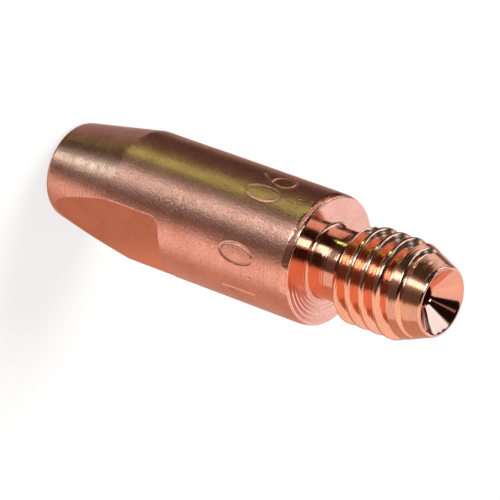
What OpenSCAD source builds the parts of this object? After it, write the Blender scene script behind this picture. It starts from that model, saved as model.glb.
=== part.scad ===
// Welding contact tip: one turned copper piece that stands on its nose, thread end up.
// Lengths are in millimetres; the origin is the centre of the nose face.

/* [Overall] */
// Length from the nose face to the thread end
total_length = 28; // [24:0.5:60]
// Diameter of the plain body
body_d = 8; // [7:0.1:14]
// Height of the shoulder face above the nose face
shoulder_z = 19.8; // [16:0.1:22]

/* [Nose] */
// Length of the turned cone behind the nose face
cone_length = 5.8; // [3:0.1:9]
// Diameter where the cone would meet the nose face without its rounding
nose_d = 5.86; // [4:0.02:6.8]
// Rounding between the cone and the nose face
nose_round = 0.55; // [0.2:0.05:1]

/* [Wrench flats] */
// Distance across the two flats
across_flats = 6.16; // [5.6:0.02:6.8]
// Height at which the flats stop
flat_end_z = 10.05; // [7.5:0.05:14]
// Radius of the cutter at the end of the flats
flat_end_round = 0.65; // [0.3:0.05:1]

/* [Shoulder] */
// Height of the edge break on the shoulder
shoulder_break_h = 0.44; // [0.1:0.02:0.8]
// Width of the edge break on the shoulder
shoulder_break_w = 0.1; // [0.05:0.01:0.4]

/* [Neck] */
// Diameter of the relief between the shoulder and the thread
neck_d = 4.36; // [4:0.02:4.7]
// Length of the relief
neck_length = 2.05; // [1:0.05:3]
// Fillet where the relief meets the shoulder
neck_fillet = 0.22; // [0.05:0.01:0.4]

/* [Thread] */
// Major diameter of the thread
thread_d = 6; // [5.6:0.1:6.6]
// Pitch of the thread
thread_pitch = 1; // [0.75:0.05:1.25]
// Width of a thread crest
crest_width = 0.2; // [0.1:0.01:0.3]
// Depth of the thread groove
groove_depth = 0.6; // [0.3:0.01:0.65]
// Length of the tapered lead-in
lead_in_length = 2.3; // [1:0.05:3]
// Outer diameter of the thread end
end_d = 4.12; // [4.05:0.01:4.6]

/* [Wire path] */
// Diameter of the wire bore
bore_d = 1.1; // [0.7:0.05:2]
// Diameter of the wire mouth at the thread end
mouth_d = 3.94; // [2.4:0.02:4]
// Depth of the wire mouth
mouth_depth = 1.2; // [0.6:0.05:2.4]

/* [Hidden] */
$fn = 96;
arc_steps = 8;
turn_steps = 30;
clear = 1;
body_r = body_d / 2;
nose_r = nose_d / 2;
neck_r = neck_d / 2;
thread_r = thread_d / 2;
end_r = end_d / 2;
flat_x = across_flats / 2;
// Slope of the cone and the centre line of its rounding
cone_angle = atan((body_r - nose_r) / cone_length);
round_r = nose_r - nose_round * (1 - sin(cone_angle)) / cos(cone_angle);
// Heights along the stub
thread_z = shoulder_z + neck_length;
lead_in_z = total_length - lead_in_length;
run_in = thread_pitch * 0.45;
end_round = 0.3;
// The groove is a 60 degree V that starts and ends in free air
flank_tan = tan(30);
groove_top_r = thread_r + 0.2;
groove_low_r = thread_r - groove_depth;
groove_top_w = (thread_pitch - crest_width) / 2 + 0.2 * flank_tan;
groove_low_w = (thread_pitch - crest_width) / 2 - groove_depth * flank_tan;
groove_z = thread_z - 0.9 * thread_pitch;
groove_turns = ceil((total_length + thread_pitch - groove_z) / thread_pitch);
groove_steps = groove_turns * turn_steps;

function arc(cx, cy, r, from, to) =
    [for (i = [0:arc_steps]) let (a = from + (to - from) * i / arc_steps) [cx + r * cos(a), cy + r * sin(a)]];

// Section of the nose cone and the plain body, as radius and height
function body_section() = concat(
    [[0, 0]],
    arc(round_r, nose_round, nose_round, -90, -cone_angle),
    [[body_r, cone_length]],
    [[body_r, shoulder_z - shoulder_break_h]],
    [[body_r - shoulder_break_w, shoulder_z]],
    [[0, shoulder_z]]
);

// Section of the relief, the thread blank and its lead-in
function stub_section() = concat(
    [[0, shoulder_z - clear]],
    [[neck_r + neck_fillet, shoulder_z - clear]],
    arc(neck_r + neck_fillet, shoulder_z + neck_fillet, neck_fillet, 270, 180),
    [[neck_r, thread_z]],
    [[groove_low_r + 0.2, thread_z + 0.2]],
    [[thread_r, thread_z + 0.2 + run_in]],
    [[thread_r, lead_in_z]],
    [[end_r + end_round * 0.5, total_length - end_round]],
    [[end_r, total_length]],
    [[0, total_length]]
);

// One corner of the groove section at a step along the helix
function groove_corner(step, r, dz) =
    let (a = 360 * step / turn_steps)
    [r * cos(a), r * sin(a), groove_z + thread_pitch * step / turn_steps + dz];

function groove_ring(step) = [
    groove_corner(step, groove_low_r, -groove_low_w),
    groove_corner(step, groove_top_r, -groove_top_w),
    groove_corner(step, groove_top_r, groove_top_w),
    groove_corner(step, groove_low_r, groove_low_w)
];

// The helical cut between the thread crests
module thread_groove() {
    rings = [for (i = [0:groove_steps]) each groove_ring(i)];
    sides = [for (i = [0:groove_steps - 1], k = [0:3], half = [0, 1])
        let (a = 4 * i + k, b = 4 * i + (k + 1) % 4)
        half == 0 ? [a, b, a + 4] : [b, b + 4, a + 4]];
    last = 4 * groove_steps;
    caps = [[0, 2, 1], [0, 3, 2], [last, last + 1, last + 2], [last, last + 2, last + 3]];
    polyhedron(points = rings, faces = concat(sides, caps), convexity = 10);
}

// Everything outside one flat, with the round that its cutter leaves
module flat_cutter() {
    reach = body_r + clear;
    wall_x = flat_x + flat_end_round;
    translate([flat_x, -reach, -clear])
        cube([reach, 2 * reach, flat_end_z - flat_end_round + clear]);
    translate([wall_x, -reach, -clear])
        cube([reach, 2 * reach, flat_end_z + clear]);
    translate([wall_x, reach, flat_end_z - flat_end_round])
        rotate([90, 0, 0])
            cylinder(r = flat_end_round, h = 2 * reach);
}

// Turned body with its two wrench flats
module flatted_body() {
    difference() {
        rotate_extrude() polygon(body_section());
        flat_cutter();
        rotate([0, 0, 180]) flat_cutter();
    }
}

// Threaded stub above the shoulder
module threaded_stub() {
    difference() {
        rotate_extrude() polygon(stub_section());
        thread_groove();
    }
}

// Wire bore through the whole length and the polished mouth that guides the wire in
module wire_path() {
    translate([0, 0, -clear])
        cylinder(d = bore_d, h = total_length + 2 * clear);
    translate([0, 0, total_length - mouth_depth])
        cylinder(d1 = bore_d, d2 = mouth_d, h = mouth_depth);
}

module contact_tip() {
    color([0.78, 0.46, 0.32])
        difference() {
            union() {
                flatted_body();
                threaded_stub();
            }
            wire_path();
        }
}

contact_tip();
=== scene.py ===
"""Looks of a turned copper contact tip that stands on its nose, thread end up.

Lengths are written in millimetres and turned into metres where a mesh is made.
"""

import logging
import math
from dataclasses import dataclass, field
from enum import Enum

import bpy
import numpy as np
from mathutils import Matrix, Vector


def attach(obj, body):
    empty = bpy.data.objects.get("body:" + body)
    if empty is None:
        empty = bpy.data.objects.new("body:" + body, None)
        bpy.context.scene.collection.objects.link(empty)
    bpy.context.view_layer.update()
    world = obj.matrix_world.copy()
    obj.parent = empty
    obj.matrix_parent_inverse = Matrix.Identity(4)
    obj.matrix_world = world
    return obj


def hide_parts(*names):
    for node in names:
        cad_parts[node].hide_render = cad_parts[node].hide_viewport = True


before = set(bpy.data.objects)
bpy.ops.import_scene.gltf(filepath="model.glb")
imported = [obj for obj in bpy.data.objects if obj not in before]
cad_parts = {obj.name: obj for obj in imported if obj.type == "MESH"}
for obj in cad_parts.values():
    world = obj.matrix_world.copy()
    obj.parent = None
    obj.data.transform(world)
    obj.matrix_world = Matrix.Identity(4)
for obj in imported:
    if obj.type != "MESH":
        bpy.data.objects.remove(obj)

LOG = logging.getLogger("contact_tip")
MM = 0.001
MICRON = 1e-6
# Guards a comparison or a division against rounding
TINY = 1e-6
Colour = tuple[float, float, float]
Ramp = tuple[float, float, float, float]
WHITE: Colour = (1.0, 1.0, 1.0)


class ToolMarks(Enum):
    """The pattern that a cutting tool left on a surface."""

    NONE = "none"
    RINGS_ALONG = "rings that follow each other along the axis"
    RINGS_ACROSS = "rings around the centre of a face"
    STREAKS = "bowed milling streaks"


class Zone(Enum):
    """The surfaces of the tip that were finished differently."""

    CONE = 0
    BODY = 1
    FLAT = 2
    FACE = 3
    NECK = 4
    THREAD = 5
    MOUTH = 6
    BORE = 7
    EDGE = 8


class Signal:
    """A shader value that can be used in ordinary arithmetic."""

    def __init__(self, graph: "Graph", socket: bpy.types.NodeSocket) -> None:
        """Keeps the socket and the graph that it belongs to."""
        self.graph = graph
        self.socket = socket

    def maths(
        self,
        operation: str,
        *others: "Signal | float",
        first: "Signal | float | None" = None,
    ) -> "Signal":
        """Adds a Math node.

        Args:
            operation: The Math node's operation.
            others: The operands after this value.
            first: An operand that goes before this value, for reflected forms.

        Returns:
            The node's result.
        """
        operands = [self, *others] if first is None else [first, self, *others]
        return self.graph.add("ShaderNodeMath", {"operation": operation}, dict(enumerate(operands)))

    def __add__(self, other: "Signal | float") -> "Signal":
        """Sum."""
        return self.maths("ADD", other)

    def __radd__(self, other: float) -> "Signal":
        """Sum with a number on the left."""
        return self.maths("ADD", first=other)

    def __sub__(self, other: "Signal | float") -> "Signal":
        """Difference."""
        return self.maths("SUBTRACT", other)

    def __rsub__(self, other: float) -> "Signal":
        """Difference with a number on the left."""
        return self.maths("SUBTRACT", first=other)

    def __mul__(self, other: "Signal | float") -> "Signal":
        """Product."""
        return self.maths("MULTIPLY", other)

    def __rmul__(self, other: float) -> "Signal":
        """Product with a number on the left."""
        return self.maths("MULTIPLY", first=other)

    def __truediv__(self, other: "Signal | float") -> "Signal":
        """Quotient."""
        return self.maths("DIVIDE", other)

    def __rtruediv__(self, other: float) -> "Signal":
        """Quotient with a number on the left."""
        return self.maths("DIVIDE", first=other)

    def __neg__(self) -> "Signal":
        """Opposite."""
        return self.maths("MULTIPLY", -1.0)

    def ramp(self, start: float, end: float, low: float = 0.0, high: float = 1.0) -> "Signal":
        """Maps the value smoothly from one range to another.

        Args:
            start: The value that gives low.
            end: The value that gives high.
            low: The result at start.
            high: The result at end.

        Returns:
            The mapped value.
        """
        return self.graph.add(
            "ShaderNodeMapRange",
            {"interpolation_type": "SMOOTHSTEP"},
            {"Value": self, "From Min": start, "From Max": end, "To Min": low, "To Max": high},
        )


class Graph:
    """A node tree that is filled by code."""

    def __init__(self, tree: bpy.types.NodeTree) -> None:
        """Empties the tree."""
        self.tree = tree
        tree.nodes.clear()

    def add(self, kind: str, settings: dict, sockets: dict, output: int | str = 0) -> Signal:
        """Adds one node of any kind.

        Args:
            kind: The node's type name.
            settings: Properties that are set before the sockets.
            sockets: Values or links by the input's name or index.
            output: Name or index of the output that is wanted.

        Returns:
            That output, or the first input of a node that has no outputs.
        """
        node = self.tree.nodes.new(kind)
        for name, value in settings.items():
            setattr(node, name, value)
        for key, value in sockets.items():
            if isinstance(value, Signal):
                self.tree.links.new(value.socket, node.inputs[key])
            else:
                node.inputs[key].default_value = value
        return Signal(self, node.outputs[output] if len(node.outputs) else node.inputs[0])

    def mix(
        self,
        factor: Signal | float,
        low: Signal | Colour,
        high: Signal | Colour,
        label: str = "",
    ) -> Signal:
        """Mixes two colours.

        Args:
            factor: Share of the second colour.
            low: First colour.
            high: Second colour.
            label: What the second colour is, shown on the node.

        Returns:
            The mixed colour.
        """
        low, high = ((*c, 1.0) if isinstance(c, tuple) else c for c in (low, high))
        settings = {"data_type": "RGBA", "blend_type": "MIX", "label": label}
        return self.add("ShaderNodeMix", settings, {0: factor, 6: low, 7: high}, 2)

    def noise(self, place: Signal, scale: float, detail: float) -> Signal:
        """Noise in three dimensions.

        Args:
            place: Position in millimetres.
            scale: Number of spots in a millimetre.
            detail: Number of finer layers.

        Returns:
            A value from 0 to 1.
        """
        sockets = {"Vector": place, "Scale": scale, "Detail": detail}
        return self.add("ShaderNodeTexNoise", {}, sockets)

    def parts(self, vector: Signal) -> tuple[Signal, Signal, Signal]:
        """Splits a vector into its three components."""
        node = self.add("ShaderNodeSeparateXYZ", {}, {"Vector": vector}).socket.node
        return tuple(Signal(self, out) for out in node.outputs)


# Spots in a millimetre of the broad clouds and of the patches in the tool marks
CLOUD_SCALE = 0.55
PATCH_SCALE = 3.2
PATCH_STRENGTH: Ramp = (0.35, 0.65, 0.4, 1.2)
# Share of the clouds in the wear, and the range over which the wear shows
CLOUD_SHARE = 0.35
WEAR_RANGE = (0.37, 0.63)
# Weight of the grain, against the clouds, in the roughness
GRAIN_IN_ROUGHNESS = 0.8
# Drift of the marks: its spots in the width of a mark, and its reach in turns and in radians
DRIFT_SCALE = 0.37
RING_DRIFT = 1.4
WAVE_DRIFT = 9.0
# How the drift makes the marks fade
RING_STRENGTH: Ramp = (0.3, 0.7, 0.6, 1.0)
WAVE_STRENGTH: Ramp = (0.3, 0.7, 0.4, 1.0)
# Share of a ring's width that the long side of its saw tooth takes
LONG_SIDE = 0.8
# Side of a face, as x and y, on which the tool cut deepest, and how the depth grows towards it
DEEP_SIDE = (0.83, 0.56)
DEEP_RANGE: Ramp = (-2.5, 1.0, 0.03, 1.0)
# Bow of the milling streaks, per millimetre
STREAK_BOW = 0.03
# Painted sheen on a flat, lighter towards one corner: the height it is measured from, the share of
# that height, and its growth
PAINTED_SHEEN_Z = 7.75
PAINTED_SHEEN_SLANT = 0.4
PAINTED_SHEEN_RANGE: Ramp = (-0.3, 2.4, 0.0, 0.85)


@dataclass(frozen=True)
class CopperFinish:
    """One way in which the copper is finished."""

    name: str
    tint: Colour
    shade: Colour
    roughness: float
    roughness_spread: float
    grain_mm: float
    grain_um: float
    marks: ToolMarks = ToolMarks.NONE
    mark_mm: float = 0.1
    mark_um: float = 0.0
    mark_stain: float = 0.08
    # Lighter copper painted towards one corner of a flat, a painted sheen that stands in for light
    painted_sheen: Colour | None = None

    def tool_marks(self, graph: Graph, place: Signal) -> Signal:
        """Wave of the tool marks.

        Args:
            graph: The material's graph.
            place: Position in millimetres.

        Returns:
            A value from about -1 to 1.
        """
        x, y, z = graph.parts(place)
        if self.marks is ToolMarks.RINGS_ALONG:
            run = z
        elif self.marks is ToolMarks.RINGS_ACROSS:
            run = (x * x + y * y).maths("SQRT")
        else:
            run = z + y * y * STREAK_BOW
        drift = graph.add(
            "ShaderNodeTexNoise",
            {"noise_dimensions": "1D"},
            {"W": run, "Scale": DRIFT_SCALE / self.mark_mm, "Detail": 3.0},
        )
        if self.marks is ToolMarks.RINGS_ACROSS:
            turn = 1.0 - (run / self.mark_mm + drift * RING_DRIFT).maths("FRACT")
            tooth = (turn / LONG_SIDE).maths("MINIMUM", (1.0 - turn) / (1.0 - LONG_SIDE))
            depth = (x * DEEP_SIDE[0] + y * DEEP_SIDE[1]).ramp(*DEEP_RANGE)
            return (tooth * 2.0 - 1.0) * drift.ramp(*RING_STRENGTH) * depth
        wave = (run * (2 * math.pi / self.mark_mm) + drift * WAVE_DRIFT).maths("SINE")
        patches = graph.noise(place, PATCH_SCALE, 2.0).ramp(*PATCH_STRENGTH)
        return wave * drift.ramp(*WAVE_STRENGTH) * patches

    def painted_sheen_share(self, graph: Graph, place: Signal) -> Signal:
        """Share of the painted sheen that lightens a flat, most at its upper right corner.

        Args:
            graph: The material's graph.
            place: Position in millimetres.

        Returns:
            Share of the painted sheen colour.
        """
        x, y, z = graph.parts(place)
        toward_corner = y * x.maths("SIGN") + (z - PAINTED_SHEEN_Z) * PAINTED_SHEEN_SLANT
        return toward_corner.ramp(*PAINTED_SHEEN_RANGE)

    def material(self) -> bpy.types.Material:
        """Makes the material.

        Returns:
            A node material with colour, roughness and relief that change over the surface.
        """
        made = bpy.data.materials.new(self.name)
        made.use_nodes = True
        graph = Graph(made.node_tree)
        metres = graph.add("ShaderNodeTexCoord", {}, {}, "Object")
        scaled = {0: metres, "Scale": 1 / MM}
        place = graph.add("ShaderNodeVectorMath", {"operation": "SCALE"}, scaled)
        grain = graph.noise(place, 1 / self.grain_mm, 2.0)
        cloud = graph.noise(place, CLOUD_SCALE, 4.0)
        height = (grain - 0.5) * (self.grain_um * MICRON)
        worn = cloud * CLOUD_SHARE + grain * (1 - CLOUD_SHARE)
        if self.marks is not ToolMarks.NONE:
            wave = self.tool_marks(graph, place)
            height = height + wave * (self.mark_um * MICRON)
            worn = worn - wave * self.mark_stain
        relief = {"Strength": 1.0, "Distance": 1.0, "Height": height}
        uneven = (cloud - 0.5) + (grain - 0.5) * GRAIN_IN_ROUGHNESS
        colour = graph.mix(worn.ramp(*WEAR_RANGE), self.tint, self.shade)
        # A flat is painted lighter towards one corner: a painted sheen in the base colour
        if self.painted_sheen is not None:
            colour = graph.mix(self.painted_sheen_share(graph, place), colour, self.painted_sheen)
        shader = graph.add(
            "ShaderNodeBsdfPrincipled",
            {},
            {
                "Base Color": colour,
                "Metallic": 1.0,
                "Roughness": self.roughness + uneven * self.roughness_spread,
                "Normal": graph.add("ShaderNodeBump", {}, relief),
            },
        )
        graph.add("ShaderNodeOutputMaterial", {}, {"Surface": shader})
        return made


COPPER: Colour = (0.870, 0.368, 0.256)
COPPER_DEEP: Colour = (0.755, 0.292, 0.194)
COPPER_BRIGHT: Colour = (0.935, 0.410, 0.293)
COPPER_WORN: Colour = (0.655, 0.242, 0.157)
COPPER_SATIN: Colour = (0.910, 0.394, 0.279)
COPPER_SATIN_DEEP: Colour = (0.692, 0.259, 0.169)
COPPER_CUT: Colour = (0.905, 0.398, 0.256)
COPPER_CUT_DEEP: Colour = (0.825, 0.335, 0.200)
COPPER_DULL: Colour = (0.760, 0.272, 0.150)
COPPER_DARK: Colour = (0.620, 0.200, 0.102)
# Lighter copper painted onto a flat towards one corner, a painted sheen
COPPER_PAINTED_SHEEN: Colour = (0.970, 0.370, 0.210)
# The neck's copper is darker than the body's: painted shade for the recess between the shoulder and
# the thread
COPPER_NECK_SHADED: Colour = (0.800, 0.335, 0.215)
COPPER_NECK_SHADED_DEEP: Colour = (0.700, 0.275, 0.165)
COPPER_DRILLED: Colour = (0.450, 0.160, 0.100)

FINISHES: dict[Zone, CopperFinish] = {
    Zone.CONE: CopperFinish(
        name="turned_cone", tint=COPPER_BRIGHT, shade=COPPER_WORN,
        roughness=0.285, roughness_spread=0.03, grain_mm=0.09, grain_um=13.0,
        marks=ToolMarks.RINGS_ALONG, mark_mm=0.18, mark_um=5.5, mark_stain=0.2,
    ),
    Zone.BODY: CopperFinish(
        name="satin_body", tint=COPPER_SATIN, shade=COPPER_SATIN_DEEP,
        roughness=0.295, roughness_spread=0.02, grain_mm=0.105, grain_um=18.0,
        marks=ToolMarks.RINGS_ALONG, mark_mm=0.15, mark_um=0.9,
    ),
    Zone.FLAT: CopperFinish(
        name="milled_flat", tint=COPPER_DULL, shade=COPPER_DARK,
        roughness=0.3, roughness_spread=0.08, grain_mm=0.09, grain_um=3.0,
        marks=ToolMarks.STREAKS, mark_mm=0.21, mark_um=1.2, mark_stain=0.12,
        painted_sheen=COPPER_PAINTED_SHEEN,
    ),
    Zone.FACE: CopperFinish(
        name="faced_shoulder", tint=COPPER, shade=COPPER_DEEP,
        roughness=0.13, roughness_spread=0.06, grain_mm=0.08, grain_um=0.6,
        marks=ToolMarks.RINGS_ACROSS, mark_mm=0.26, mark_um=5.5, mark_stain=0.0,
    ),
    # The neck's darker copper is painted shade for its recess
    Zone.NECK: CopperFinish(
        name="turned_neck", tint=COPPER_NECK_SHADED, shade=COPPER_NECK_SHADED_DEEP,
        roughness=0.13, roughness_spread=0.05, grain_mm=0.08, grain_um=0.8,
        marks=ToolMarks.RINGS_ALONG, mark_mm=0.15, mark_um=2.5,
    ),
    Zone.THREAD: CopperFinish(
        name="cut_thread", tint=COPPER_CUT, shade=COPPER_CUT_DEEP,
        roughness=0.14, roughness_spread=0.06, grain_mm=0.08, grain_um=2.0,
        marks=ToolMarks.RINGS_ALONG, mark_mm=0.12, mark_um=1.4,
    ),
    Zone.MOUTH: CopperFinish(
        name="polished_mouth", tint=COPPER, shade=COPPER_DEEP,
        roughness=0.08, roughness_spread=0.03, grain_mm=0.07, grain_um=0.5,
        marks=ToolMarks.RINGS_ACROSS, mark_mm=0.09, mark_um=0.3,
    ),
    Zone.BORE: CopperFinish(
        name="drilled_bore", tint=COPPER_DEEP, shade=COPPER_DRILLED,
        roughness=0.35, roughness_spread=0.08, grain_mm=0.08, grain_um=1.5,
    ),
    Zone.EDGE: CopperFinish(
        name="rolled_edge", tint=COPPER, shade=COPPER_DEEP,
        roughness=0.16, roughness_spread=0.06, grain_mm=0.2, grain_um=18.0,
    ),
}


@dataclass
class RingStack:
    """Rings of points that become one skin of quads."""

    name: str
    rings: list[np.ndarray] = field(default_factory=list)
    zones: list[np.ndarray] = field(default_factory=list)

    def add(self, points: np.ndarray, zones: np.ndarray) -> None:
        """Adds a ring.

        Args:
            points: One row of x, y and z for each column, in millimetres.
            zones: Zone number of each quad between this ring and the one before.
        """
        self.rings.append(points)
        self.zones.append(zones)

    def skin(self) -> bpy.types.Object:
        """Joins neighbouring rings.

        Returns:
            A smooth-shaded object without materials.
        """
        count, columns = len(self.rings), len(self.rings[0])
        row, column = np.meshgrid(np.arange(count - 1), np.arange(columns), indexing="ij")
        beside = (column + 1) % columns
        low, high = row * columns, (row + 1) * columns
        quads = np.stack([low + column, low + beside, high + beside, high + column], -1)
        points = np.concatenate(self.rings) * MM
        mesh = bpy.data.meshes.new(self.name)
        mesh.from_pydata(points.tolist(), [], quads.reshape(-1, 4).tolist())
        mesh.polygons.foreach_set("use_smooth", np.ones(len(mesh.polygons), bool))
        piece = bpy.data.objects.new(self.name, mesh)
        bpy.context.scene.collection.objects.link(piece)
        return piece

    def dress(self, piece: bpy.types.Object) -> None:
        """Gives each quad of a skin the finish of its zone.

        Args:
            piece: The object that skin made.
        """
        zones = np.stack(self.zones[1:]).reshape(-1)
        used = sorted(set(zones.tolist()))
        for number in used:
            piece.data.materials.append(FINISHES[Zone(number)].material())
        slots = np.searchsorted(used, zones).astype(np.int32)
        piece.data.polygons.foreach_set("material_index", slots)
        piece.data.update()


class TurnedPiece:
    """A piece that is made of rings around the axis."""

    def rings(self) -> RingStack:
        """The rings of the piece, which each kind of piece gives."""
        raise NotImplementedError

    def build(self) -> bpy.types.Object:
        """Builds the piece and dresses it.

        Returns:
            The finished piece.
        """
        stack = self.rings()
        piece = stack.skin()
        stack.dress(piece)
        return piece


def arc(
    centre: tuple[float, float], radius: float, start: float, end: float, steps: int
) -> list[tuple[float, float]]:
    """Points along an arc.

    Args:
        centre: Radius and height of the arc's centre.
        radius: The arc's radius.
        start: First angle in degrees.
        end: Last angle in degrees.
        steps: Number of intervals.

    Returns:
        Pairs of radius and height.
    """
    angles = np.radians(np.linspace(start, end, steps + 1))
    return [(centre[0] + radius * math.cos(a), centre[1] + radius * math.sin(a)) for a in angles]


def smooth(share: float | np.ndarray) -> float | np.ndarray:
    """Eases a share between 0 and 1 in and out."""
    return share * share * (3 - 2 * share)


def around(azimuth: np.ndarray, reach: float | np.ndarray, z: float) -> np.ndarray:
    """Points of a ring.

    Args:
        azimuth: Azimuth of each column in degrees.
        reach: One radius, or a radius for each column.
        z: Height of the ring.

    Returns:
        One row of x, y and z for each column.
    """
    turn = np.radians(azimuth)
    return np.stack([reach * np.cos(turn), reach * np.sin(turn), np.full(turn.shape, z)], 1)


@dataclass
class StampedNumbers:
    """Plain numbers that are struck into the body, with their feet towards the thread.

    Each place holds a character and the azimuth of its middle in degrees.
    """

    foot_z: float = 17.16
    height: float = 2.4
    width: float = 1.15
    half_stroke: float = 0.05
    depth: float = 0.05
    wall: float = 0.06
    dot_swell: float = 0.07
    rim: float = 0.008
    rim_gap: float = 0.08
    rim_width: float = 0.06
    margin: float = 0.4
    places: tuple[tuple[str, float], ...] = (
        ("1", 1.5), (".", -15.5), ("0", -34.3), ("0", -92.0), ("6", -113.0),
    )

    def strokes(self, glyph: str) -> list[tuple[float, float]]:
        """Centre line of a glyph in a box of one by one.

        Args:
            glyph: The character.

        Returns:
            Points of one open line.
        """
        turn = np.radians(np.linspace(0, 360, 33))
        if glyph == "0":
            return [(0.5 + 0.5 * math.sin(a), 0.5 + 0.5 * math.cos(a)) for a in turn]
        if glyph == "1":
            return [(0.2, 0.76), (0.55, 1.0), (0.55, 0.0)]
        if glyph == "6":
            bowl = [(0.5 - 0.5 * math.cos(a), 0.3 + 0.3 * math.sin(a)) for a in turn]
            return [(0.75, 1.0), (0.42, 0.82), (0.14, 0.56), *bowl]
        return [(0.5, 0.03), (0.5, 0.05)]

    def touches(self, z: float) -> bool:
        """Whether a ring at this height meets the numbers."""
        return self.foot_z - self.height - self.margin < z < self.foot_z + self.margin

    def relief(self, azimuth: np.ndarray, z: float, radius: float) -> np.ndarray:
        """Height of the struck surface over the plain body.

        Args:
            azimuth: Azimuth of each column in degrees.
            z: Height of the ring.
            radius: Radius of the body.

        Returns:
            Radial offsets, negative in the strokes.
        """
        nearest = np.full(azimuth.shape, math.inf)
        for glyph, middle in self.places:
            across = np.radians(middle - azimuth) * radius
            swell = self.dot_swell if glyph == "." else 0.0
            line = np.array(self.strokes(glyph))
            sides, heights = (line[:, 0] - 0.5) * self.width, self.foot_z - line[:, 1] * self.height
            ends = np.stack([sides, heights], 1)
            for a, b in zip(ends[:-1], ends[1:]):
                run = b - a
                along = (across - a[0]) * run[0] + (z - a[1]) * run[1]
                share = np.clip(along / (run @ run), 0, 1)
                gap = np.hypot(across - a[0] - share * run[0], z - a[1] - share * run[1])
                nearest = np.minimum(nearest, gap - swell)
        outside = nearest - self.half_stroke
        struck = 1 - smooth(np.clip(outside / self.wall + 0.5, 0, 1))
        ridge = np.exp(-(((outside - self.rim_gap) / self.rim_width) ** 2))
        return self.rim * ridge - self.depth * struck


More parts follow.
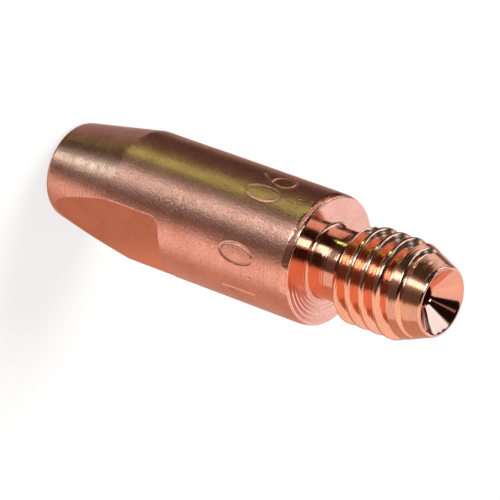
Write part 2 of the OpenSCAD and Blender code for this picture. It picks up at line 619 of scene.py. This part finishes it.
@dataclass
class TurnedBody(TurnedPiece):
    """Nose cone, plain body with two wrench flats, and shoulder face."""

    radius: float = 4.0
    nose_radius: float = 2.93
    nose_round: float = 0.55
    cone_length: float = 5.8
    shoulder_z: float = 19.8
    break_height: float = 0.44
    break_width: float = 0.1
    flat_x: float = 3.08
    flat_end_z: float = 10.05
    flat_end_round: float = 0.65
    bore_radius: float = 0.55
    seat_radius: float = 2.4
    # Columns: the azimuths that the numbers take, and the steps there and elsewhere
    number_span: tuple[float, float] = (-128.0, 4.0)
    number_step: float = 0.72
    plain_step: float = 2.0
    # Columns beside each edge of a flat, and the least half angle that they close to
    beside_edge: tuple[float, ...] = (-1.0, -0.35, 0.35, 1.0)
    least_half: float = 2.5
    # Height above a flat over which the columns go back to their places
    ease_height: float = 0.65
    # Rings above a flat, and the reach of the close rings beyond the numbers
    above_flat: tuple[float, ...] = (0.02, 0.06, 0.15, 0.3, 0.45, 0.65)
    plain_above_flat: float = 0.85
    number_margin: float = 0.35
    # Edge break: its first ring, as inward and up from its foot, and the others, as outward
    # and up from the rim
    break_start: tuple[float, float] = (0.014, 0.05)
    break_rings: tuple[tuple[float, float], ...] = ((0.03, -0.12), (0.006, -0.045), (-0.04, 0.0))
    # Soft edge between the cone and the body, as outward and up
    cone_edge: tuple[tuple[float, float], ...] = ((-0.006, -0.05), (0.0, 0.06))
    # First angle, in radians, of the rings in the round at a flat's end
    flat_end_start: float = 0.15
    # Gaps between the last ring of one surface and the first of the next
    nose_gap: float = 0.02
    cone_gap: float = 0.3
    break_gap: float = 0.05
    face_gap: float = 0.09
    # Numbers of rings
    nose_rings: int = 7
    round_rings: int = 10
    cone_rings: int = 26
    beside_flat_rings: int = 9
    flat_end_rings: int = 10
    plain_rings: int = 7
    number_rings: int = 64
    face_rings: int = 12
    numbers: StampedNumbers = field(default_factory=StampedNumbers)

    def half_angle(self, distance: float) -> float:
        """Half the angle, in degrees, that a plane at this distance cuts from the body."""
        return math.degrees(math.acos(distance / self.radius))

    def columns(self) -> np.ndarray:
        """Places the columns, close under the numbers and at the flats' edges.

        Returns:
            Azimuths in degrees.
        """
        edge = self.half_angle(self.flat_x)
        first, last = self.number_span
        stops = [-180.0, first, last, 180.0]
        for middle in (-180 + edge, -edge, edge, 180 - edge):
            stops += [middle + away for away in self.beside_edge]
        stops = sorted(stops)
        found = []
        for low, high in zip(stops[:-1], stops[1:]):
            step = self.number_step if first <= low < last else self.plain_step
            count = max(1, math.ceil((high - low) / step))
            found += np.linspace(low, high, count, endpoint=False).tolist()
        return np.array(found)

    def plane(self, z: float) -> float:
        """Distance of a flat from the axis at some height, or infinity above its end.

        Args:
            z: The height.

        Returns:
            The distance.
        """
        start = self.flat_end_z - self.flat_end_round
        if z <= start:
            return self.flat_x
        if z > self.flat_end_z + TINY:
            return math.inf
        left = math.sqrt(max(self.flat_end_round**2 - (z - start) ** 2, 0.0))
        return self.flat_x + self.flat_end_round - left

    def ring(self, radius: float, z: float, ease: float) -> tuple[np.ndarray, np.ndarray]:
        """One ring, cut by the flats, with its columns drawn to the flats' edges.

        Args:
            radius: Radius of the turned surface.
            z: Height of the ring.
            ease: Half angle of the flat that the columns follow where there is no flat.

        Returns:
            Points, and for each column whether it lies on a flat.
        """
        edge, plane = self.half_angle(self.flat_x), self.plane(z)
        cut = radius > plane
        half = math.degrees(math.acos(plane / radius)) if cut else ease
        half = max(half, self.least_half)
        base = self.columns()
        folded = np.abs((base + 90) % 180 - 90)
        inner = folded * half / edge
        outer = half + (folded - edge) * (90 - half) / (90 - edge)
        moved = np.where(folded <= edge, inner, outer)
        toward = np.round(base / 180) * 180
        azimuth = toward + np.sign(base - toward) * moved
        reach = np.full(azimuth.shape, radius)
        on_flat = np.zeros(azimuth.shape, bool)
        if cut:
            depth = plane / np.maximum(np.abs(np.cos(np.radians(azimuth))), TINY)
            on_flat = depth < radius
            reach = np.minimum(reach, depth)
        if radius == self.radius and self.numbers.touches(z):
            reach = reach + self.numbers.relief(azimuth, z, radius)
        return around(azimuth, reach, z), on_flat

    def nose_section(self) -> list[tuple[float, float, Zone]]:
        """Lays out the nose face and the cone.

        Returns:
            Radius, height and zone of each ring.
        """
        slope = math.atan((self.radius - self.nose_radius) / self.cone_length)
        middle = self.nose_radius - self.nose_round * (1 - math.sin(slope)) / math.cos(slope)
        face = np.linspace(self.bore_radius, middle - self.nose_gap, self.nose_rings)
        found = [(r, 0.0, Zone.FACE) for r in face]
        centre = (middle, self.nose_round)
        rounding = arc(centre, self.nose_round, -90, -math.degrees(slope), self.round_rings)
        found += [(r, z, Zone.CONE) for r, z in rounding]
        for z in np.linspace(rounding[-1][1], self.cone_length, self.cone_rings)[1:-1]:
            found.append((self.nose_radius + z * math.tan(slope), z, Zone.CONE))
        for out, up in self.cone_edge:
            found.append((self.radius + out, self.cone_length + up, Zone.CONE))
        return found

    def body_heights(self) -> list[float]:
        """Lays out the plain body.

        Returns:
            Heights of its rings.
        """
        stop = self.flat_end_z - self.flat_end_round
        plain = self.flat_end_z + self.plain_above_flat
        heads = self.numbers.foot_z - self.numbers.height - self.number_margin
        feet = self.numbers.foot_z + self.number_margin
        edge = self.shoulder_z - self.break_height
        turn = np.linspace(self.flat_end_start, math.pi / 2, self.flat_end_rings)
        found = np.linspace(self.cone_length + self.cone_gap, stop, self.beside_flat_rings).tolist()
        found += [stop + self.flat_end_round * math.sin(a) for a in turn]
        found += [self.flat_end_z + above for above in self.above_flat]
        found += np.linspace(plain, heads, self.plain_rings).tolist()[:-1]
        found += np.linspace(heads, feet, self.number_rings).tolist()
        found += np.linspace(feet, edge, self.plain_rings).tolist()[1:-1]
        return [*found, edge - self.break_gap]

    def section(self) -> list[tuple[float, float, Zone]]:
        """Lays out the whole body, from the bore at the nose to the neck.

        Returns:
            Radius, height and zone of each ring.
        """
        found = self.nose_section()
        found += [(self.radius, z, Zone.BODY) for z in self.body_heights()]
        edge, rim = self.shoulder_z - self.break_height, self.radius - self.break_width
        inward, above = self.break_start
        found.append((self.radius - inward, edge + above, Zone.EDGE))
        found += [(rim + out, self.shoulder_z + up, Zone.EDGE) for out, up in self.break_rings]
        face = np.linspace(rim - self.face_gap, self.seat_radius, self.face_rings)
        return found + [(r, self.shoulder_z, Zone.FACE) for r in face]

    def rings(self) -> RingStack:
        """Lays the rings of the body.

        Returns:
            The rings, with the quads on the flats in a zone of their own.
        """
        stack = RingStack("tip_body")
        last = np.zeros(len(self.columns()), bool)
        wall = self.half_angle(self.flat_x + self.flat_end_round)
        edge = self.half_angle(self.flat_x)
        for radius, z, zone in self.section():
            share = min(max((z - self.flat_end_z) / self.ease_height, 0.0), 1.0)
            ease = wall + (edge - wall) * smooth(share)
            points, on_flat = self.ring(radius, z, ease if z > self.flat_end_z else self.least_half)
            flat = on_flat | last
            stack.add(points, np.where(flat & np.roll(flat, -1), Zone.FLAT.value, zone.value))
            last = on_flat
        return stack


@dataclass
class ThreadedStub(TurnedPiece):
    """Relieved neck, right-hand thread, tapered end, flared wire mouth and wire bore."""

    seat_z: float = 19.8
    seat_radius: float = 2.4
    neck_radius: float = 2.18
    neck_fillet: float = 0.22
    thread_z: float = 21.85
    thread_radius: float = 3.0
    pitch: float = 1.0
    crest: float = 0.2
    groove_depth: float = 0.6
    flank_angle: float = 30.0
    lead_in_z: float = 25.7
    end_z: float = 28.0
    end_radius: float = 2.06
    mouth_radius: float = 1.97
    mouth_depth: float = 1.2
    bore_radius: float = 0.55
    # Height and radius of the step at the first crest, and the rise after it in pitches
    step: float = 0.2
    rise: float = 0.45
    # Start of the groove below the thread, in pitches
    groove_lead: float = 0.9
    # Rounding between a crest and its flanks
    crest_blend: float = 0.05
    # Bevel at the thread end: its height, its width, and rings as width and depth
    bevel_height: float = 0.3
    bevel_width: float = 0.15
    bevel_rings: tuple[tuple[float, float], ...] = (
        (0.12, 0.2), (0.08, 0.1), (0.04, 0.035), (0.0, 0.0),
    )
    # First ring of the neck, tucked under the shoulder face, as outward and down
    tuck: tuple[float, float] = (0.02, 0.05)
    # Gaps between the last ring of one surface and the first of the next
    neck_gap: float = 0.1
    thread_gap: float = 0.05
    lip: float = 0.015
    bore_gap: float = 0.05
    # Share of the mouth's depth at its first ring
    mouth_start: float = 0.01
    # Numbers of columns and rings, and the height between two rings of the thread
    column_count: int = 192
    fillet_rings: int = 7
    neck_rings: int = 8
    mouth_rings: int = 14
    bore_rings: int = 10
    ring_step: float = 0.03

    def blank(self, z: float) -> float:
        """Radius of the stub before the thread is cut.

        Args:
            z: The height.

        Returns:
            The radius.
        """
        root = self.thread_radius - self.groove_depth
        low = self.thread_z + self.step
        stops = (
            (self.thread_z - self.ring_step, self.neck_radius),
            (low, root + self.step),
            (low + self.rise * self.pitch, self.thread_radius),
            (self.lead_in_z, self.thread_radius),
            (self.end_z - self.bevel_height, self.end_radius + self.bevel_width),
        )
        return float(np.interp(z, *zip(*stops)))

    def threaded(self, z: float, azimuth: np.ndarray) -> np.ndarray:
        """Radius of the threaded stub.

        Args:
            z: Height of the ring.
            azimuth: Azimuth of each column in degrees.

        Returns:
            Radius at each column.
        """
        slope = math.tan(math.radians(self.flank_angle))
        root = self.thread_radius - self.groove_depth
        start = self.thread_z - self.groove_lead * self.pitch
        along = (z - start) / self.pitch - azimuth / 360
        away = np.abs((along + 0.5) % 1.0 - 0.5) * self.pitch
        floor = (self.pitch - self.crest) / 2 - self.groove_depth * slope
        groove = root + np.maximum(away - floor, 0) / slope
        blank = self.blank(z)
        share = np.clip(0.5 + 0.5 * (groove - blank) / self.crest_blend, 0, 1)
        return groove + (blank - groove) * share - self.crest_blend * share * (1 - share)

    def outside(self, azimuth: np.ndarray) -> list[tuple[float | np.ndarray, float, Zone]]:
        """Rings of the neck, the thread and the bevel.

        Args:
            azimuth: Azimuth of each column in degrees.

        Returns:
            Radius, height and zone of each ring.
        """
        fillet_z = self.seat_z + self.neck_fillet
        bevel_z = self.end_z - self.bevel_height
        centre = (self.seat_radius, fillet_z)
        fillet = arc(centre, self.neck_fillet, 270, 180, self.fillet_rings)
        plain = np.linspace(fillet_z, self.thread_z - self.neck_gap, self.neck_rings)[1:]
        first = self.thread_z - self.thread_gap
        heights = np.arange(first, bevel_z - self.ring_step, self.ring_step)
        outward, down = self.tuck
        found = [(self.seat_radius + outward, self.seat_z - down, Zone.NECK)]
        found += [(r, z, Zone.NECK) for r, z in fillet]
        found += [(self.neck_radius, z, Zone.NECK) for z in plain]
        found += [(self.threaded(z, azimuth), z, Zone.THREAD) for z in heights]
        found.append((self.end_radius + self.bevel_width, bevel_z, Zone.THREAD))
        for width, depth in self.bevel_rings:
            found.append((self.end_radius + width, self.end_z - depth, Zone.THREAD))
        return found

    def inside(self) -> list[tuple[float, float, Zone]]:
        """Lays out the mouth and the bore.

        Returns:
            Radius, height and zone of each ring.
        """
        narrowing = self.bore_radius - self.mouth_radius
        found = [(self.mouth_radius + self.lip, self.end_z, Zone.MOUTH)]
        for share in np.linspace(self.mouth_start, 1.0, self.mouth_rings):
            radius, depth = self.mouth_radius + narrowing * share, self.mouth_depth * share
            found.append((radius, self.end_z - depth, Zone.MOUTH))
        first = self.end_z - self.mouth_depth - self.bore_gap
        bore = np.linspace(first, 0.0, self.bore_rings)
        return found + [(self.bore_radius, z, Zone.BORE) for z in bore]

    def rings(self) -> RingStack:
        """Lays the rings of the stub, down through the mouth to the nose end of the bore.

        Returns:
            The rings.
        """
        stack = RingStack("threaded_stub")
        azimuth = np.arange(self.column_count) * 360.0 / self.column_count
        for radius, z, zone in [*self.outside(azimuth), *self.inside()]:
            stack.add(around(azimuth, radius, z), np.full(azimuth.shape, zone.value))
        return stack


@dataclass(frozen=True)
class StudioCard:
    """A card or soft box that the copper mirrors, given by where it stands around the tip.

    Azimuths run from the far side of the tip, and elevations from the horizon, in degrees.
    """

    name: str
    colour: Colour
    azimuth: float
    half_width: float
    soft: float
    low: float
    high: float
    edge: float = 4.0

    def share(self, azimuth: Signal, elevation: Signal) -> Signal:
        """How much of a direction the card fills.

        Args:
            azimuth: The direction's azimuth in degrees.
            elevation: The direction's elevation in degrees.

        Returns:
            A value from 0 to 1.
        """
        # One and a half turns keep the difference positive
        turned = (azimuth - (self.azimuth - 540.0)).maths("MODULO", 360.0)
        away = (turned - 180.0).maths("ABSOLUTE")
        inside = away.ramp(self.half_width - self.soft, self.half_width + self.soft, 1.0, 0.0)
        above = elevation.ramp(self.low - self.edge, self.low + self.edge)
        below = elevation.ramp(self.high - self.edge, self.high + self.edge, 1.0, 0.0)
        return inside * above * below


MOUTH_WHITE: Colour = (1.25, 2.3, 3.0)

# Each card lies over the ones before it
CARDS: tuple[StudioCard, ...] = (
    StudioCard("dim wall, front", (0.13, 0.11, 0.095), 165.0, 26.0, 10.0, -95.0, 20.0, 10.0),
    StudioCard("grey table at the nose", (0.44, 0.39, 0.42), 300.0, 36.0, 14.0, -54.0, -44.0, 3.0),
    StudioCard("white table at the nose", (3.0, 3.1, 3.3), 346.0, 16.0, 6.0, -49.0, -37.5, 2.5),
    StudioCard("warm strip, left", (0.75, 0.52, 0.44), 280.0, 32.0, 6.0, -19.5, -12.0, 2.0),
    StudioCard("shoulder edge light", (1.3, 1.5, 1.6), 230.0, 18.0, 5.0, -13.0, -5.0, 2.0),
    StudioCard("pale strip, left", (1.0, 1.2, 1.3), 284.0, 30.0, 6.0, -14.0, -4.0, 3.0),
    StudioCard("white spot, left", (3.0, 3.0, 3.0), 280.0, 10.0, 4.0, 3.0, 14.0, 3.0),
    StudioCard("black flag overhead", (0.010, 0.008, 0.006), 195.0, 64.0, 5.0, 26.0, 82.0, 6.0),
    StudioCard("large soft box, right", (1.10, 1.10, 1.10), 61.0, 81.0, 7.0, 4.0, 95.0, 10.0),
    StudioCard("small soft box, right", (1.2, 1.25, 1.05), 112.0, 33.0, 10.0, 15.0, 50.0, 8.0),
    StudioCard("cool sheet behind", (1.1, 1.42, 1.7), 2.0, 24.0, 6.0, 18.0, 52.0, 6.0),
    StudioCard("copper sheet behind", (0.58, 0.24, 0.17), 7.0, 6.0, 1.0, 34.2, 66.0, 0.9),
    StudioCard("white sheet behind, low", (1.5, 1.9, 2.2), 345.0, 13.0, 3.0, 8.0, 27.0, 2.0),
    StudioCard("warm table, right", (0.66, 0.48, 0.40), 34.0, 66.0, 10.0, -95.0, 4.0, 10.0),
    StudioCard("white table, right", (1.08, 1.08, 1.10), 122.0, 23.0, 3.0, -95.0, 4.0, 10.0),
    StudioCard("dark table at the nose", (0.08, 0.06, 0.05), 166.0, 27.0, 6.0, -95.0, -49.0, 4.0),
    StudioCard("front light, halo", (0.32, 0.35, 0.37), 199.0, 16.0, 9.0, -80.0, 20.0),
    StudioCard("front light, core", (0.42, 0.6, 0.62), 199.0, 7.0, 4.0, -80.0, 20.0),
    StudioCard("front light, cone", (3.4, 6.2, 7.0), 200.0, 6.0, 3.0, -80.0, -48.0),
    StudioCard("front light, thread", (9.0, 12.0, 14.0), 198.2, 8.8, 2.0, -26.5, -21.5, 1.2),
    StudioCard("front light, lead-in", (4.0, 4.0, 4.0), 200.0, 7.0, 3.0, 2.0, 14.0, 3.0),
    StudioCard("front light, mouth", (5.0, 14.0, 20.0), 206.0, 11.0, 3.0, 28.0, 46.0, 3.0),
    StudioCard("front light, rim", (0.5, 0.45, 0.4), 203.0, 6.0, 3.0, 50.0, 68.0),
    StudioCard("yellow lamp, body", (5.6, 10.2, 4.0), 246.2, 1.3, 1.0, -44.0, -28.0, 3.0),
    StudioCard("yellow lamp, thread", (1.8, 4.2, 1.2), 248.0, 3.2, 1.5, -26.0, -21.0, 1.2),
    StudioCard("mouth wedge, low", MOUTH_WHITE, 303.0, 16.0, 4.0, 8.0, 29.0, 1.5),
    StudioCard("mouth wedge, middle", MOUTH_WHITE, 288.0, 15.0, 4.0, 22.0, 40.0, 2.0),
    StudioCard("mouth wedge, high", MOUTH_WHITE, 275.5, 12.0, 4.0, 28.0, 55.0, 2.0),
)


@dataclass
class Studio:
    """Pale floor, plain soft light and the cards around the tip, in metres."""

    floor_size: float = 3.0
    floor_drop: float = 0.00002
    floor_colour: Colour = (0.97, 0.97, 0.97)
    floor_roughness: float = 0.8
    floor_glow: float = 0.76
    ambient: Colour = (0.50, 0.43, 0.42)
    dark: Colour = (0.052, 0.042, 0.028)
    lamp_colour: Colour = (0.91, 1.0, 1.0)
    lamp_power: float = 7.4
    lamp_size: float = 0.3
    lamp_distance: float = 1.0
    lamp_elevation: float = 68.0
    # Azimuth of the lamp from the camera's
    lamp_turn: float = -90.0
    view_azimuth: float = -55.8
    cards: tuple[StudioCard, ...] = CARDS

    def light(self) -> None:
        """Sets up the world: white for the camera, cards for what mirrors, plain for the rest."""
        world = bpy.data.worlds.new("studio")
        bpy.context.scene.world = world
        world.use_nodes = True
        graph = Graph(world.node_tree)
        x, y, z = graph.parts(graph.add("ShaderNodeTexCoord", {}, {}, "Generated"))
        turn = math.radians(self.view_azimuth)
        front = x * math.cos(turn) + y * math.sin(turn)
        side = y * math.cos(turn) - x * math.sin(turn)
        azimuth = side.maths("ARCTAN2", -front) * math.degrees(1.0)
        elevation = z.maths("ARCSINE") * math.degrees(1.0)
        glow: Signal | Colour = self.dark
        for card in self.cards:
            glow = graph.mix(card.share(azimuth, elevation), glow, card.colour, card.name)
        mirrored = graph.add("ShaderNodeLightPath", {}, {}, "Is Glossy Ray")
        colour = graph.mix(mirrored, self.ambient, glow)
        seen = graph.add("ShaderNodeLightPath", {}, {}, "Is Camera Ray")
        colour = graph.mix(seen, colour, WHITE)
        background = graph.add("ShaderNodeBackground", {}, {"Color": colour, "Strength": 1.0})
        graph.add("ShaderNodeOutputWorld", {}, {"Surface": background})

    def floor_finish(self) -> bpy.types.Material:
        """Makes the floor's material.

        Returns:
            A matt material that the camera sees brighter than the light makes it.
        """
        made = bpy.data.materials.new("pale_floor")
        made.use_nodes = True
        graph = Graph(made.node_tree)
        pale = {
            "Base Color": (*self.floor_colour, 1.0),
            "Roughness": self.floor_roughness,
            "Specular IOR Level": 0.0,
        }
        matt = graph.add("ShaderNodeBsdfPrincipled", {}, pale)
        white = graph.add("ShaderNodeEmission", {}, {"Strength": 1.0})
        seen = graph.add("ShaderNodeLightPath", {}, {}, "Is Camera Ray")
        mixed = {0: seen * self.floor_glow, 1: matt, 2: white}
        shader = graph.add("ShaderNodeMixShader", {}, mixed)
        graph.add("ShaderNodeOutputMaterial", {}, {"Surface": shader})
        return made

    def floor(self) -> bpy.types.Object:
        """Makes the floor under the nose.

        Returns:
            The floor.
        """
        half = self.floor_size / 2
        corners = [(-half, -half, 0), (half, -half, 0), (half, half, 0), (-half, half, 0)]
        mesh = bpy.data.meshes.new("floor")
        mesh.from_pydata(corners, [], [(0, 1, 2, 3)])
        mesh.materials.append(self.floor_finish())
        floor = bpy.data.objects.new("floor", mesh)
        floor.location.z = -self.floor_drop
        floor.visible_glossy = False
        bpy.context.scene.collection.objects.link(floor)
        return floor

    def lamp(self) -> bpy.types.Object:
        """Hangs one soft lamp that gives the tip its shadow on the floor.

        Returns:
            The lamp.
        """
        data = bpy.data.lights.new("soft_lamp", "AREA")
        data.shape = "DISK"
        data.size = self.lamp_size
        data.energy = self.lamp_power
        data.color = self.lamp_colour
        lamp = bpy.data.objects.new("soft_lamp", data)
        turn = math.radians(self.view_azimuth + self.lamp_turn)
        tilt = math.radians(self.lamp_elevation)
        flat = math.cos(tilt)
        toward = Vector((math.cos(turn) * flat, math.sin(turn) * flat, math.sin(tilt)))
        lamp.location = toward * self.lamp_distance
        lamp.rotation_euler = (-toward).to_track_quat("-Z", "Y").to_euler()
        lamp.visible_glossy = False
        bpy.context.scene.collection.objects.link(lamp)
        return lamp


@dataclass
class Shot:
    """The camera at the photograph's viewing angle."""

    place: tuple[float, float, float] = (108.824, -158.375, 149.825)
    right: tuple[float, float, float] = (-0.58997, 0.25327, 0.76669)
    up: tuple[float, float, float] = (-0.66414, -0.69228, -0.28235)
    lens: float = 288.0
    sensor: float = 36.0
    nearest: float = 0.001

    def take(self) -> bpy.types.Object:
        """Makes the camera and gives it to the scene.

        Returns:
            The camera.
        """
        data = bpy.data.cameras.new("camera")
        data.lens = self.lens
        data.sensor_width = self.sensor
        data.sensor_fit = "HORIZONTAL"
        data.clip_start = self.nearest
        camera = bpy.data.objects.new("camera", data)
        right, up = Vector(self.right).normalized(), Vector(self.up).normalized()
        turn = Matrix((right, up, right.cross(up))).transposed()
        camera.matrix_world = Matrix.Translation(Vector(self.place) * MM) @ turn.to_4x4()
        bpy.context.scene.collection.objects.link(camera)
        bpy.context.scene.camera = camera
        return camera


def main() -> None:
    """Builds the tip, the studio and the camera."""
    logging.basicConfig(level=logging.INFO, format="%(name)s: %(message)s")
    bpy.context.scene.view_settings.view_transform = "Standard"
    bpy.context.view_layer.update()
    for maker in (TurnedBody(), ThreadedStub()):
        piece = maker.build()
        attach(piece, "root")
        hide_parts("contact_tip")
        LOG.info("%s: %d faces", piece.name, len(piece.data.polygons))
    studio = Studio()
    studio.light()
    LOG.info("floor %s and lamp %s", studio.floor().name, studio.lamp().name)
    LOG.info("camera %s", Shot().take().name)


if __name__ == "__main__":
    main()
